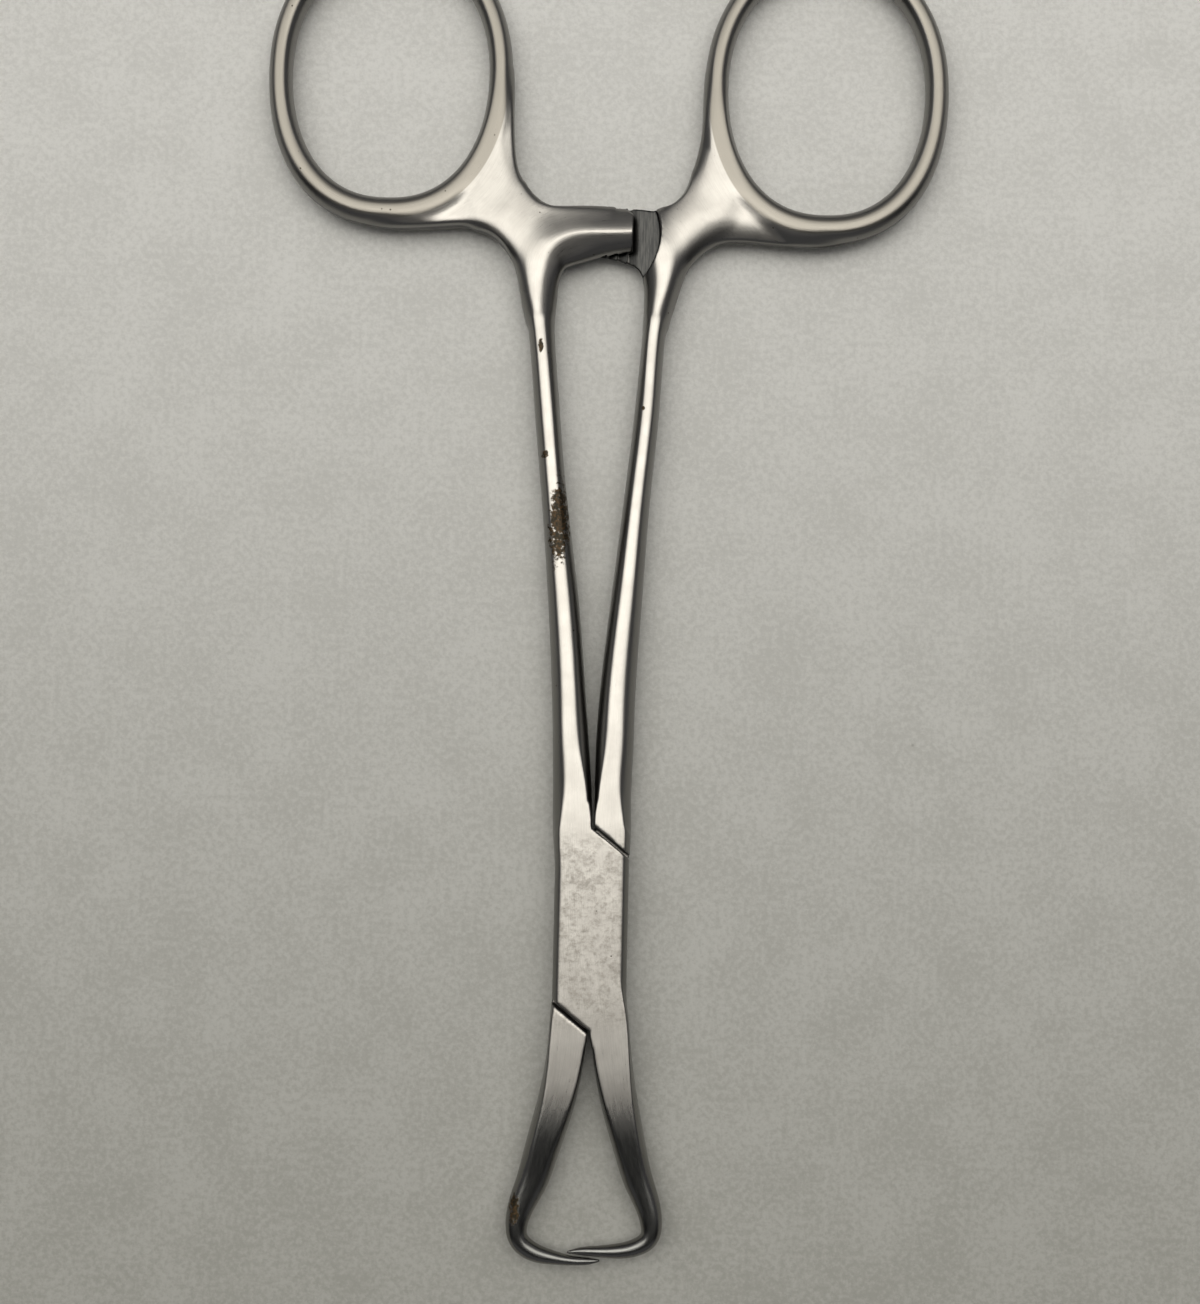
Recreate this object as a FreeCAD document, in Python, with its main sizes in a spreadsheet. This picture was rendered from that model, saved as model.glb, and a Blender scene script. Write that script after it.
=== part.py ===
import FreeCAD, Part
import Sketcher
import os
from math import acos, atan2, cos, degrees, radians, sin, sqrt, tan

# Towel clamp: two forged halves, joined by a box lock, and the rivet through it.
# The origin is on the rivet's axis, at the underside of the lock. +Y runs to the finger rings,
# +X to the right as the clamp is seen from above, +Z up. Both halves lie on one middle plane.
# The box half has the left ring and the right jaw, the tongue half the right ring and the left jaw.

doc = FreeCAD.newDocument("towel_clamp")
sheet = doc.addObject("Spreadsheet::Sheet", "Sizes")

SIZES = [
    ("lock_thickness", 4.4, "box lock, face to face"),
    ("lock_half_width", 3.65, "box lock, axis to side"),
    ("lock_edge", 0.5, "rounding along the sides of the lock"),
    ("shoulder_reach", 7.7, "axis to the slanted shoulders, square to them"),
    ("shoulder_angle", 51.6, "direction in which the shoulders face, from +X"),
    ("shoulder_gap", 0.3, "open slit between a shoulder and the cheeks"),
    ("crotch_gap", 0.3, "gap between the two halves beside the shoulders"),
    ("tongue_thickness", 1.6, "tongue that passes through the box"),
    ("tongue_half_width", 1.95, "tongue, axis to side"),
    ("tongue_lean", 12.9, "tongue, lean from +Y towards +X"),
    ("running_gap", 0.05, "running clearance of the tongue in its slot and on the pin"),
    ("opening_angle", 45.0, "how far the halves open from the locked position"),
    ("opening_spare", 2.0, "further angle that the slot leaves free past the opening"),
    ("pin_radius", 1.25, "rivet"),
    ("pin_head_radius", 1.6, "rivet, where it is peened into the cheeks' countersinks"),
    ("pin_head_height", 0.45, "depth of the countersinks"),
    ("shank_root", 12.6, "Y of the shanks where they leave the lock"),
    ("shank_lower", 27.0, "Y of the lower shank station"),
    ("shank_upper", 43.0, "Y of the upper shank station"),
    ("shank_top", 63.0, "Y where the shanks enter the webs"),
    ("shank_root_width", 3.75, "shank width at its root"),
    ("shank_lower_width", 3.3, "shank width at the lower station"),
    ("shank_upper_width", 2.6, "shank width at the upper station"),
    ("shank_top_width", 2.6, "shank width at the top"),
    ("shank_root_thickness", 4.3, "shank thickness at its root"),
    ("shank_top_thickness", 3.5, "shank thickness at the top"),
    ("shank_edge", 0.8, "rounding of the shanks' edges"),
    ("left_root_x", -2.05, "centre of the left shank at its root"),
    ("left_lower_x", -3.02, "centre of the left shank, lower station"),
    ("left_upper_x", -4.62, "centre of the left shank, upper station"),
    ("left_top_x", -6.5, "centre of the left shank at the top"),
    ("right_root_x", 1.88, "centre of the right shank at its root"),
    ("right_lower_x", 2.45, "centre of the right shank, lower station"),
    ("right_upper_x", 3.74, "centre of the right shank, upper station"),
    ("right_top_x", 5.42, "centre of the right shank at the top"),
    ("ring_opening_width", 20.0, "finger opening across"),
    ("ring_opening_length", 26.1, "finger opening along"),
    ("ring_bar_width", 2.5, "ring bar, seen from above"),
    ("ring_bar_thickness", 3.0, "ring bar, seen from the side"),
    ("ring_land", 0.7, "ground flat on the ring bar"),
    ("ring_tip_radius", 9.7, "radius of the ring's two ends, to the middle of the bar"),
    ("left_ring_x", -22.35, "centre of the left ring"),
    ("left_ring_y", 86.1, "centre of the left ring"),
    ("right_ring_x", 22.3, "centre of the right ring"),
    ("right_ring_y", 85.2, "centre of the right ring"),
    ("web_thickness", 2.8, "web between ring, shank and ratchet arm"),
    ("web_edge", 0.8, "bevel of the web's edges"),
    ("web_outer_radius", 5.0, "curve from the ring's underside into the shank"),
    ("web_inner_radius", 2.4, "curve from the shank into the ratchet arm"),
    ("web_upper_radius", 4.0, "curve from the ratchet arm up to the ring"),
    ("arm_upper_y", 72.6, "edge of the ratchet arms towards the rings"),
    ("arm_root_width", 5.2, "ratchet arm along Y at its root"),
    ("arm_end_width", 4.4, "ratchet arm along Y at its end"),
    ("arm_height", 2.1, "ratchet arm, middle plane to crown"),
    ("arm_side_height", 1.0, "flat side of the ratchet arm"),
    ("arm_gap", 0.1, "gap between the crests of facing teeth"),
    ("upper_arm_end", 2.75, "end of the upper arm, past the clamp's axis"),
    ("lower_arm_end", 1.1, "end of the lower arm, past the clamp's axis"),
    ("arm_bevel", 0.8, "bevel on the arm's outer corner"),
    ("recess_radius", 6.85, "ground recess beside the arm's end"),
    ("recess_centre", 1.3, "centre of the recess, past the clamp's axis"),
    ("tooth_start", -0.9, "X of the first tooth's crest"),
    ("tooth_pitch", 1.05, "ratchet tooth to tooth"),
    ("tooth_depth", 0.45, "ratchet tooth, crest to root"),
    ("tooth_count", 4, "teeth on each arm"),
    ("jaw_root_width", 3.85, "jaw width below the lock"),
    ("jaw_middle_width", 3.5, "jaw width half way down"),
    ("jaw_low_width", 2.5, "jaw width above the corner"),
    ("jaw_corner_width", 1.95, "jaw width at the corner"),
    ("jaw_middle_thickness", 3.8, "jaw thickness half way down"),
    ("jaw_low_thickness", 2.9, "jaw thickness above the corner"),
    ("jaw_corner_thickness", 2.3, "jaw thickness at the corner"),
    ("jaw_edge", 0.7, "rounding of the jaws' edges"),
    ("jaw_spread", 6.6, "axis to the middle of the jaw at the corner"),
    ("jaw_depth", 29.0, "axis to the corner of the jaw along Y"),
    ("tine_root_width", 1.65, "tine width beside the corner"),
    ("tine_middle_width", 1.2, "tine width half way"),
    ("tine_point", 0.16, "width of the tine's point"),
    ("right_tine_y", -31.4, "middle of the right tine"),
    ("left_tine_y", -32.33, "middle of the left tine"),
    ("tine_overlap", 1.6, "how far each point reaches past the axis"),
]
for row, (alias, value, meaning) in enumerate(SIZES, start=1):
    sheet.set("A%d" % row, meaning)
    sheet.set("B%d" % row, str(value))
    sheet.setAlias("B%d" % row, alias)
doc.recompute()


def size(alias):
    return float(sheet.get(alias))


MIDDLE = size("lock_thickness") / 2
REACH = 40.0  # longer than anything that the cutting solids pass through
SHANK_SECTIONS = 9
JAW_SECTIONS = 22
RING_FACETS = 5  # on each side of the ring's bar
WEB_DOWN = 1.6  # how far the web runs down the shank, in outer radii
WEB_NECK = 1.25  # how far the web runs into the ratchet arm, in inner radii


def point(x, y, z=0.0):
    return FreeCAD.Vector(x, y, z)


def feature(name, shape):
    """A document object for a form that only lofts and profiles can describe."""
    item = doc.addObject("Part::Feature", name)
    item.Shape = shape
    return item


def bar_section(x, y, heading, width, thickness, edge):
    """Rounded rectangle across a bar that passes (x, y) in the direction heading, in degrees."""
    a, b = width / 2, thickness / 2
    r = min(edge, 0.46 * width, 0.46 * thickness)
    k = r * (1 - cos(radians(45)))
    corners = [(a, b), (-a, b), (-a, -b), (a, -b)]
    edges, last = [], None
    for u, v in corners:
        su, sv = u / a, v / b
        along_u = point(u - su * r, 0, v)
        along_v = point(u, 0, v - sv * r)
        middle = point(u - su * k, 0, v - sv * k)
        first, final = (along_v, along_u) if su * sv > 0 else (along_u, along_v)
        if last is None:
            start = first
        else:
            edges.append(Part.LineSegment(last, first).toShape())
        edges.append(Part.Arc(first, middle, final).toShape())
        last = final
    edges.append(Part.LineSegment(last, start).toShape())
    wire = Part.Wire(edges)
    wire.rotate(point(0, 0), point(0, 0, 1), heading - 90)
    wire.translate(point(x, y, MIDDLE))
    return wire


def rounded_outline(corners):
    """Closed wire in the XY plane through corners (x, y, radius), its rounded corners as arcs."""
    count = len(corners)
    edges, last, start = [], None, None
    for i, (x, y, radius) in enumerate(corners):
        here = point(x, y)
        to_last = (point(*corners[i - 1][:2]) - here).normalize()
        to_next = (point(*corners[(i + 1) % count][:2]) - here).normalize()
        if radius > 0:
            half = to_last.getAngle(to_next) / 2
            cut = radius / tan(half)
            first, final = here + to_last * cut, here + to_next * cut
            bisector = (to_last + to_next).normalize()
            middle = here + bisector * (radius / sin(half) - radius)
            arc = Part.Arc(first, middle, final).toShape()
        else:
            first = final = here
            arc = None
        if last is None:
            start = first
        else:
            edges.append(Part.LineSegment(last, first).toShape())
        if arc:
            edges.append(arc)
        last = final
    edges.append(Part.LineSegment(last, start).toShape())
    return Part.Wire(edges)


def prism(outline, low, high):
    """Solid over a closed outline in the XY plane, from the height low to the height high."""
    body = Part.Face(outline).extrude(point(0, 0, high - low))
    body.translate(point(0, 0, low))
    return body


def half_plane(direction, distance, low, high):
    """Everything further than distance from the axis in a direction given in degrees."""
    block = Part.makeBox(2 * REACH, 2 * REACH, high - low, point(distance, -REACH, low))
    block.rotate(point(0, 0), point(0, 0, 1), direction)
    return block


def flat_edges(body, wanted):
    """The top and bottom edges of a plate whose middles satisfy wanted(x, y)."""
    chosen = []
    for candidate in body.Edges:
        middle = candidate.valueAt((candidate.FirstParameter + candidate.LastParameter) / 2)
        if candidate.BoundBox.ZLength < 1e-6 and wanted(middle.x, middle.y):
            chosen.append(candidate)
    return chosen


def bar(stations, count, edge):
    """Bar of changing size along a smooth line through stations (x, y, width, thickness).

    It is lofted through count sections, evenly spaced along the line, with straight sides between.
    """
    centres = [point(x, y) for x, y, width, thickness in stations]
    marks = [0.0]
    for before, after in zip(centres, centres[1:]):
        marks.append(marks[-1] + (after - before).Length)
    sizes = [point(width, thickness, mark) for (x, y, width, thickness), mark in zip(stations, marks)]
    line, girth = Part.BSplineCurve(), Part.BSplineCurve()
    line.interpolate(Points=centres, Parameters=marks)
    girth.interpolate(Points=sizes, Parameters=marks)
    sections = []
    for i in range(count):
        mark = line.parameterAtDistance(line.length() * i / (count - 1), 0.0)
        centre, along, now = line.value(mark), line.tangent(mark)[0], girth.value(mark)
        heading = degrees(atan2(along.y, along.x))
        sections.append(bar_section(centre.x, centre.y, heading, now.x, now.y, edge))
    return Part.makeLoft(sections, True, True)


def shank(side):
    """Tapered bar from inside the lock up into the web."""
    root_thickness, top_thickness = size("shank_root_thickness"), size("shank_top_thickness")
    root_y, top_y = size("shank_root"), size("shank_top")
    stations = []
    for place in ("root", "lower", "upper", "top"):
        y = size("shank_" + place)
        share = (y - root_y) / (top_y - root_y)
        stations.append((size("%s_%s_x" % (side, place)), y, size("shank_%s_width" % place),
                         root_thickness + share * (top_thickness - root_thickness)))
    x, y, width, thickness = stations[0]
    stations.insert(0, (x, y - 2 * size("lock_half_width"), width, thickness))
    x, y, width, thickness = stations[-1]
    lean = (x - stations[-2][0]) / (y - stations[-2][1])
    into_web = size("web_outer_radius")
    stations.append((x + lean * into_web, y + into_web, width, size("web_thickness")))
    return bar(stations, SHANK_SECTIONS, size("shank_edge"))


def jaw(mirror, tine_y):
    """Jaw and tine in one bar: down and outwards, round the corner and back to a point.

    mirror is 1 for the jaw on the right, -1 for the one on the left.
    """
    spread, depth, overlap = size("jaw_spread"), size("jaw_depth"), size("tine_overlap")
    thick, corner_thickness = size("lock_thickness"), size("jaw_corner_thickness")
    corner, tine, middle = size("jaw_corner_width"), size("tine_root_width"), size("tine_middle_width")
    drop = -tine_y - depth
    stations = [
        (0.27 * spread, -0.22 * depth, size("jaw_root_width"), thick),
        (0.35 * spread, -0.41 * depth, size("jaw_root_width"), 0.97 * thick),
        (0.48 * spread, -0.58 * depth, size("jaw_middle_width"), size("jaw_middle_thickness")),
        (0.885 * spread, -0.91 * depth, size("jaw_low_width"), size("jaw_low_thickness")),
        (spread, -depth, corner, corner_thickness),
        (spread - 0.1 * corner, -depth - 0.5 * drop, corner, 0.92 * corner_thickness),
        (0.70 * spread, tine_y + 0.15 * drop, tine, 0.8 * corner_thickness),
        (0.30 * spread, tine_y, middle, 1.15 * middle),
        (0.0, tine_y, 0.75 * middle, 0.85 * middle),
        (-overlap, tine_y, size("tine_point"), size("tine_point")),
    ]
    body = bar(stations, JAW_SECTIONS, size("jaw_edge"))
    return body if mirror > 0 else body.mirror(point(0, 0), point(1, 0))


def oval():
    """Four arcs along the middle of the ring's bar, about the ring's centre.

    Each arc is its centre (x, y), radius, first angle and last angle in degrees.
    """
    across = (size("ring_opening_width") + size("ring_bar_width")) / 2
    along = (size("ring_opening_length") + size("ring_bar_width")) / 2
    tip = size("ring_tip_radius")
    flank = (across ** 2 + (along - tip) ** 2 - tip ** 2) / (2 * (across - tip))
    join = degrees(atan2(along - tip, flank - across))
    return [(across - flank, 0, flank, -join, join),
            (0, along - tip, tip, join, 180 - join),
            (flank - across, 0, flank, 180 - join, 180 + join),
            (0, tip - along, tip, 180 + join, 360 - join)]


def ring_section(x, y):
    """Section of the ring's bar about (x, y): an oval ground flat above and below, in small facets."""
    half_width, half_height = size("ring_bar_width") / 2, size("ring_bar_thickness") / 2
    land = size("ring_land") / 2
    rise = half_height / sqrt(1 - (land / half_width) ** 2)
    limit = acos(land / half_width)
    turns = [limit * (2 * i / RING_FACETS - 1) for i in range(RING_FACETS + 1)]
    outer = [point(x + half_width * cos(a), y, MIDDLE + rise * sin(a)) for a in turns]
    inner = [point(x - half_width * cos(a), y, MIDDLE - rise * sin(a)) for a in turns]
    return Part.makePolygon(outer + inner + outer[:1])


def ring(side):
    """Finger ring: its bar bent round the oval, one bend for each arc."""
    bends = []
    for x, y, radius, first, last in oval():
        end = Part.Face(ring_section(x + radius, y))
        end.rotate(point(x, y), point(0, 0, 1), first)
        bends.append(end.revolve(point(x, y), point(0, 0, 1), last - first))
    body = bends[0].multiFuse(bends[1:]).removeSplitter()
    body.translate(point(size(side + "_ring_x"), size(side + "_ring_y")))
    return body


def ring_opening(side, low, high):
    """Everything inside the middle of the ring's bar, from the height low to the height high."""
    edges = []
    for x, y, radius, first, last in oval():
        edges.append(Part.makeCircle(radius, point(x, y), point(0, 0, 1), first, last))
    body = prism(Part.Wire(edges), low, high)
    body.translate(point(size(side + "_ring_x"), size(side + "_ring_y")))
    return body


def web(side, mirror):
    """Plate that joins ring, shank and ratchet arm, with concave outlines and bevelled edges.

    Its outline is drawn as on the right half; mirror is 1 there and -1 on the left.
    """
    half_bar = size("ring_bar_width") / 2
    across = size("ring_opening_width") / 2 + half_bar
    along = size("ring_opening_length") / 2 + half_bar
    ring_x, ring_y = mirror * size(side + "_ring_x"), size(side + "_ring_y")
    ring_side, ring_foot = ring_x - across - half_bar, ring_y - along - half_bar
    top_x, top_y, half_width = mirror * size(side + "_top_x"), size("shank_top"), size("shank_top_width") / 2
    lean = (top_x - mirror * size(side + "_upper_x")) / (top_y - size("shank_upper"))
    outer, inner, upper = (size("web_%s_radius" % name) for name in ("outer", "inner", "upper"))
    arm_upper, arm_lower = size("arm_upper_y"), size("arm_upper_y") - size("arm_root_width")
    foot_y = ring_foot - WEB_DOWN * outer

    def shank_side(y, direction):
        return top_x + lean * (y - top_y) + direction * half_width

    neck_x = shank_side(arm_lower, -1) - WEB_NECK * inner
    outline = [
        (ring_x, ring_y, 0),
        (ring_x + half_bar, ring_foot, 0),
        (shank_side(ring_foot, 1), ring_foot, outer),
        (shank_side(foot_y, 1), foot_y, 0),
        (shank_side(foot_y, -1), foot_y, 0),
        (shank_side(arm_lower, -1), arm_lower, inner),
        (neck_x, arm_lower, 0),
        (neck_x, arm_upper, 0),
        (ring_side, arm_upper, upper),
        (ring_side, ring_y, 0),
    ]
    half = size("web_thickness") / 2
    plate = prism(rounded_outline([(mirror * x, y, radius) for x, y, radius in outline]),
                  MIDDLE - half, MIDDLE + half)

    def free_edge(x, y):
        in_ring = y > ring_foot + 0.01 and mirror * x > ring_side + 0.01 and abs(y - arm_upper) > 0.01
        at_neck = abs(mirror * x - neck_x) < 0.01
        in_shank = y < foot_y + 0.01
        on_curve = mirror * x < ring_side + upper
        return not at_neck and not in_shank and (not in_ring or on_curve)

    plate = plate.makeChamfer(size("web_edge"), flat_edges(plate, free_edge))
    return plate.cut(ring_opening(side, MIDDLE - 2 * half, MIDDLE + 2 * half))


def ratchet_arm(mirror, up, end, root):
    """Ratchet arm from its root to its end, with a crowned back and a flat side for the teeth.

    mirror is 1 for the arm that points right, up is 1 for the arm above the middle plane.
    """
    upper, crown, low = size("arm_upper_y"), size("arm_height"), size("arm_gap") / 2
    root_width, end_width = size("arm_root_width"), size("arm_end_width")
    half_web = size("web_thickness") / 2
    sections = []
    for x, width, height in ((root - crown, root_width, half_web), (root + crown, root_width, crown),
                             (end, end_width, crown)):
        wall = height * size("arm_side_height") / crown
        corners = [(upper - width, low), (upper - width, wall), (upper, wall), (upper, low)]
        at = [point(mirror * x, y, MIDDLE + up * z) for y, z in corners]
        top = point(mirror * x, upper - width / 2, MIDDLE + up * height)
        sections.append(Part.Wire([Part.LineSegment(at[0], at[1]).toShape(),
                                   Part.Arc(at[1], top, at[2]).toShape(),
                                   Part.LineSegment(at[2], at[3]).toShape(),
                                   Part.LineSegment(at[3], at[0]).toShape()]))
    bevel = size("arm_bevel")
    corner = [(mirror * (end - bevel), upper, 0), (mirror * end, upper - bevel, 0),
              (mirror * (end + bevel), upper + bevel, 0)]
    tip = prism(rounded_outline(corner), MIDDLE - 2 * crown, MIDDLE + 2 * crown)
    return Part.makeLoft(sections, True, True).cut(tip)


def tooth_notches(up):
    """Saw-tooth notches in the flat side of the arm above (up 1) or below (up -1)."""
    crest, root = MIDDLE + up * size("arm_gap") / 2, MIDDLE + up * size("tooth_depth")
    pitch, far_y = size("tooth_pitch"), size("arm_upper_y") + 1.0
    near_y = far_y - size("arm_root_width") - 2.0
    notches = []
    for index in range(int(size("tooth_count"))):
        first = size("tooth_start") + index * pitch
        steep = first + pitch if up > 0 else first
        outline = Part.makePolygon([point(first, near_y, crest), point(first + pitch, near_y, crest),
                                    point(steep, near_y, root), point(first, near_y, crest)])
        notches.append(Part.Face(outline).extrude(point(0, far_y - near_y, 0)))
    return notches[0].multiFuse(notches[1:])


def recess(mirror, up):
    """Round relief beside the other arm's end, level with its own arm's teeth and open outwards."""
    depth = 2 * size("arm_height")
    crest = MIDDLE - up * size("arm_gap") / 2
    base = crest if up > 0 else crest - depth
    centre = point(mirror * size("recess_centre"), size("arm_upper_y") - size("arm_root_width") / 2, base)
    return Part.makeCylinder(size("recess_radius"), depth, centre)


def shoulder_y(x):
    """Y on the slanted line of the upper shoulder at x."""
    angle = radians(size("shoulder_angle"))
    return (size("shoulder_reach") - cos(angle) * x) / sin(angle)


def box_plate():
    """Plate of the box: the cheeks with the roots of the shank and the jaw."""
    half, gap = size("lock_half_width"), size("crotch_gap") / 2
    root_x, root_y, root_half = size("left_root_x"), size("shank_root"), size("shank_root_width") / 2
    jaw_x, jaw_y, jaw_half = 0.35 * size("jaw_spread"), 0.41 * size("jaw_depth"), size("jaw_root_width") / 2
    outline = [
        (gap, shoulder_y(gap), 0), (half, shoulder_y(half), 0), (half, -0.7 * shoulder_y(half), 0),
        (jaw_x + jaw_half, -jaw_y, 0), (jaw_x - jaw_half, -jaw_y, 0), (gap, -shoulder_y(gap) - 2 * gap, 0),
        (-gap, -shoulder_y(gap), 0), (-half, -shoulder_y(half), 0), (-half, -0.3 * shoulder_y(half), 0),
        (root_x - root_half, root_y, 0), (root_x + root_half, root_y, 0),
        (-gap, shoulder_y(gap) + 2 * gap, 0),
    ]
    plate = prism(rounded_outline(outline), 0, size("lock_thickness"))
    sides = flat_edges(plate, lambda x, y: abs(x) > half - 0.01 and abs(y) < root_y - 0.01)
    return plate.makeFillet(size("lock_edge"), sides)


def slot():
    """Slot through the box: the tongue's band in every position from locked to open."""
    half = size("tongue_half_width") + size("running_gap")
    locked = size("tongue_lean")
    opened = locked + size("opening_angle") + size("opening_spare")
    half_swing = radians(opened - locked) / 2
    apex = half / cos(half_swing)
    outline = []
    for turn in (0, 180):
        for lean, across, along in ((locked, -half, REACH / 2), ((locked + opened) / 2, -apex, 0),
                                    (opened, -half, -REACH / 2)):
            a = radians(lean + turn)
            outline.append((across * cos(a) + along * sin(a), along * cos(a) - across * sin(a), 0))
    depth = size("tongue_thickness") / 2 + size("running_gap")
    return prism(rounded_outline(outline), MIDDLE - depth, MIDDLE + depth)


def tongue():
    """Thin band through the slot, from the shank's shoulder to the jaw's."""
    half, a = size("tongue_half_width"), radians(size("tongue_lean"))
    outline = []
    for across, along in ((-half, REACH), (-half, -REACH), (half, -REACH), (half, REACH)):
        outline.append((across * cos(a) + along * sin(a), along * cos(a) - across * sin(a), 0))
    depth = size("tongue_thickness") / 2
    band = prism(rounded_outline(outline), MIDDLE - depth, MIDDLE + depth)
    end = size("shoulder_reach") + 1.6 * size("shoulder_gap")
    for direction in (size("shoulder_angle"), size("shoulder_angle") + 180):
        band = band.cut(half_plane(direction, end, MIDDLE - 2 * depth, MIDDLE + 2 * depth))
    return band


def behind_shoulder(body, direction):
    """The part of a body that lies past the shoulder and its slit."""
    distance = size("shoulder_reach") + size("shoulder_gap")
    return body.common(half_plane(direction, distance, -REACH / 2, REACH / 2))


def fuse(name, parts):
    item = doc.addObject("Part::MultiFuse", name)
    item.Shapes = parts
    return item


def cut(name, base, tool):
    item = doc.addObject("Part::Cut", name)
    item.Base, item.Tool = base, tool
    return item


# The rivet: a shaft with its ends peened into the countersinks of the cheeks, ground flush.
pin = doc.addObject("PartDesign::Body", "lock_pin")
pin_sketch = pin.newObject("Sketcher::SketchObject", "pin_profile")
pin_plane = [item for item in pin.Origin.OriginFeatures if item.Role == "XZ_Plane"][0]
pin_sketch.AttachmentSupport = [(pin_plane, "")]
pin_sketch.MapMode = "FlatFace"
HEAD, SHAFT, SINK = "Sizes.pin_head_radius", "Sizes.pin_radius", "Sizes.pin_head_height"
TOP, UNDER_HEAD = "Sizes.lock_thickness", "(Sizes.lock_thickness - Sizes.pin_head_height)"
head, shaft, sink = size("pin_head_radius"), size("pin_radius"), size("pin_head_height")
top = size("lock_thickness")
# Each corner: its radius and height now, and the expressions that keep it there.
PIN_CORNERS = [(0, 0, None, None), (head, 0, HEAD, None), (shaft, sink, SHAFT, SINK),
               (shaft, top - sink, SHAFT, UNDER_HEAD), (head, top, HEAD, TOP), (0, top, None, TOP)]
for first, last in zip(PIN_CORNERS, PIN_CORNERS[1:] + PIN_CORNERS[:1]):
    pin_sketch.addGeometry(Part.LineSegment(point(*first[:2]), point(*last[:2])), False)
for index, (radius, height, radius_formula, height_formula) in enumerate(PIN_CORNERS):
    following = (index + 1) % len(PIN_CORNERS)
    pin_sketch.addConstraint(Sketcher.Constraint("Coincident", index, 2, following, 1))
    for kind, value, formula in (("DistanceX", radius, radius_formula),
                                 ("DistanceY", height, height_formula)):
        number = pin_sketch.addConstraint(Sketcher.Constraint(kind, -1, 1, index, 1, value))
        if formula:
            pin_sketch.setExpression("Constraints[%d]" % number, formula + " * 1 mm")
pin_turn = pin.newObject("PartDesign::Revolution", "pin_turn")
pin_turn.Profile = pin_sketch
pin_turn.ReferenceAxis = (pin_sketch, ["V_Axis"])
pin_turn.Angle = 360

WEB_ROOT = size("web_inner_radius") + size("shank_top_width")

# The box half: left ring and shank, upper ratchet arm, box and right jaw.
left_handle = fuse("left_handle", [
    feature("left_ring", ring("left")),
    feature("left_web", web("left", -1)),
    feature("left_shank", shank("left")),
    feature("upper_arm", ratchet_arm(1, 1, size("upper_arm_end"), size("left_top_x") + WEB_ROOT / 2)),
])
box_end = fuse("box_end", [
    feature("box_plate", box_plate()),
    feature("right_jaw", jaw(1, size("right_tine_y"))),
])
box_forging = fuse("box_half_forging", [left_handle, box_end])
box_cutters = fuse("box_half_cutters", [
    feature("slot", slot()),
    pin,
    feature("upper_notches", tooth_notches(1)),
    feature("lower_recess", recess(1, -1)),
])
box_half = cut("box_half", box_forging, box_cutters)

# The tongue half: right ring and shank, lower ratchet arm, tongue and left jaw.
SHOULDER = size("shoulder_angle")
tongue_forging = fuse("tongue_half_forging", [
    feature("right_ring", ring("right")),
    feature("right_web", web("right", 1)),
    feature("right_shank", behind_shoulder(shank("right"), SHOULDER)),
    feature("lower_arm", ratchet_arm(-1, -1, size("lower_arm_end"), -size("right_top_x") + WEB_ROOT / 2)),
    feature("tongue", tongue()),
    feature("left_jaw", behind_shoulder(jaw(-1, size("left_tine_y")), SHOULDER + 180)),
])
pin_hole = doc.addObject("Part::Cylinder", "tongue_pin_hole")
pin_hole.setExpression("Radius", "Sizes.pin_radius + Sizes.running_gap")
pin_hole.setExpression("Height", "Sizes.lock_thickness")
tongue_cutters = fuse("tongue_half_cutters", [
    pin_hole,
    feature("lower_notches", tooth_notches(-1)),
    feature("upper_recess", recess(-1, 1)),
])
tongue_half = cut("tongue_half", tongue_forging, tongue_cutters)

doc.recompute()

NODES = [box_half, tongue_half, pin]
for item in doc.Objects:
    bad = [word for word in item.State if word in ("Invalid", "Error")]
    if bad:
        raise RuntimeError("%s is %s" % (item.Name, bad))
for item in NODES:
    if item.Shape.isNull() or not item.Shape.isValid() or len(item.Shape.Solids) != 1:
        raise RuntimeError("%s has no valid single solid" % item.Name)

os.makedirs("parts", exist_ok=True)
for item in NODES:
    item.Label = item.Name
    item.Shape.exportStep("parts/%s.step" % item.Label)
    print("%s: %.1f mm3" % (item.Label, item.Shape.Volume))
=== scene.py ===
from math import cos, pi, radians, sin

import bpy
import numpy as np
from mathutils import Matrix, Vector


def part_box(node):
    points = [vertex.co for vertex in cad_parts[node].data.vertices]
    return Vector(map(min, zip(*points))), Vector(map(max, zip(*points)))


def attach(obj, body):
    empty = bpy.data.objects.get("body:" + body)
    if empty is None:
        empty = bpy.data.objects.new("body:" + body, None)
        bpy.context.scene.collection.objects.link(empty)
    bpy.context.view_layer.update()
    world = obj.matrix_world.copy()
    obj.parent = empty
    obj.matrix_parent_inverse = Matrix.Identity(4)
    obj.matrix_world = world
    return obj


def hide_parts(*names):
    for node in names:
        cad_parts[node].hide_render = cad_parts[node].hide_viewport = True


# Towel clamp: the dressed model of the two forged halves, joined by a box lock.
# Sizes are in millimetres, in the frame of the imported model: the origin is on the rivet's axis,
# +Y runs to the finger rings and +X to the right. Heights are from the middle plane of the lock.

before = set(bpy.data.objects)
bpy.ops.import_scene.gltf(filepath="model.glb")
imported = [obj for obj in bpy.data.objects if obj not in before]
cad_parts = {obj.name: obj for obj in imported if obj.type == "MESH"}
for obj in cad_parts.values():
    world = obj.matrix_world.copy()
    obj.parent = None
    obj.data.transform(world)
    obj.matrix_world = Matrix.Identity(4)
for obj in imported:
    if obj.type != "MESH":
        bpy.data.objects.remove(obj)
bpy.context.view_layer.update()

MM = 0.001
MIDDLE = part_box("lock_pin")[1].z / MM / 2
BOX_LOW, BOX_HIGH = (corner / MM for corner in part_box("box_half"))
TONGUE_LOW, TONGUE_HIGH = (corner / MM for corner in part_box("tongue_half"))

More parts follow.
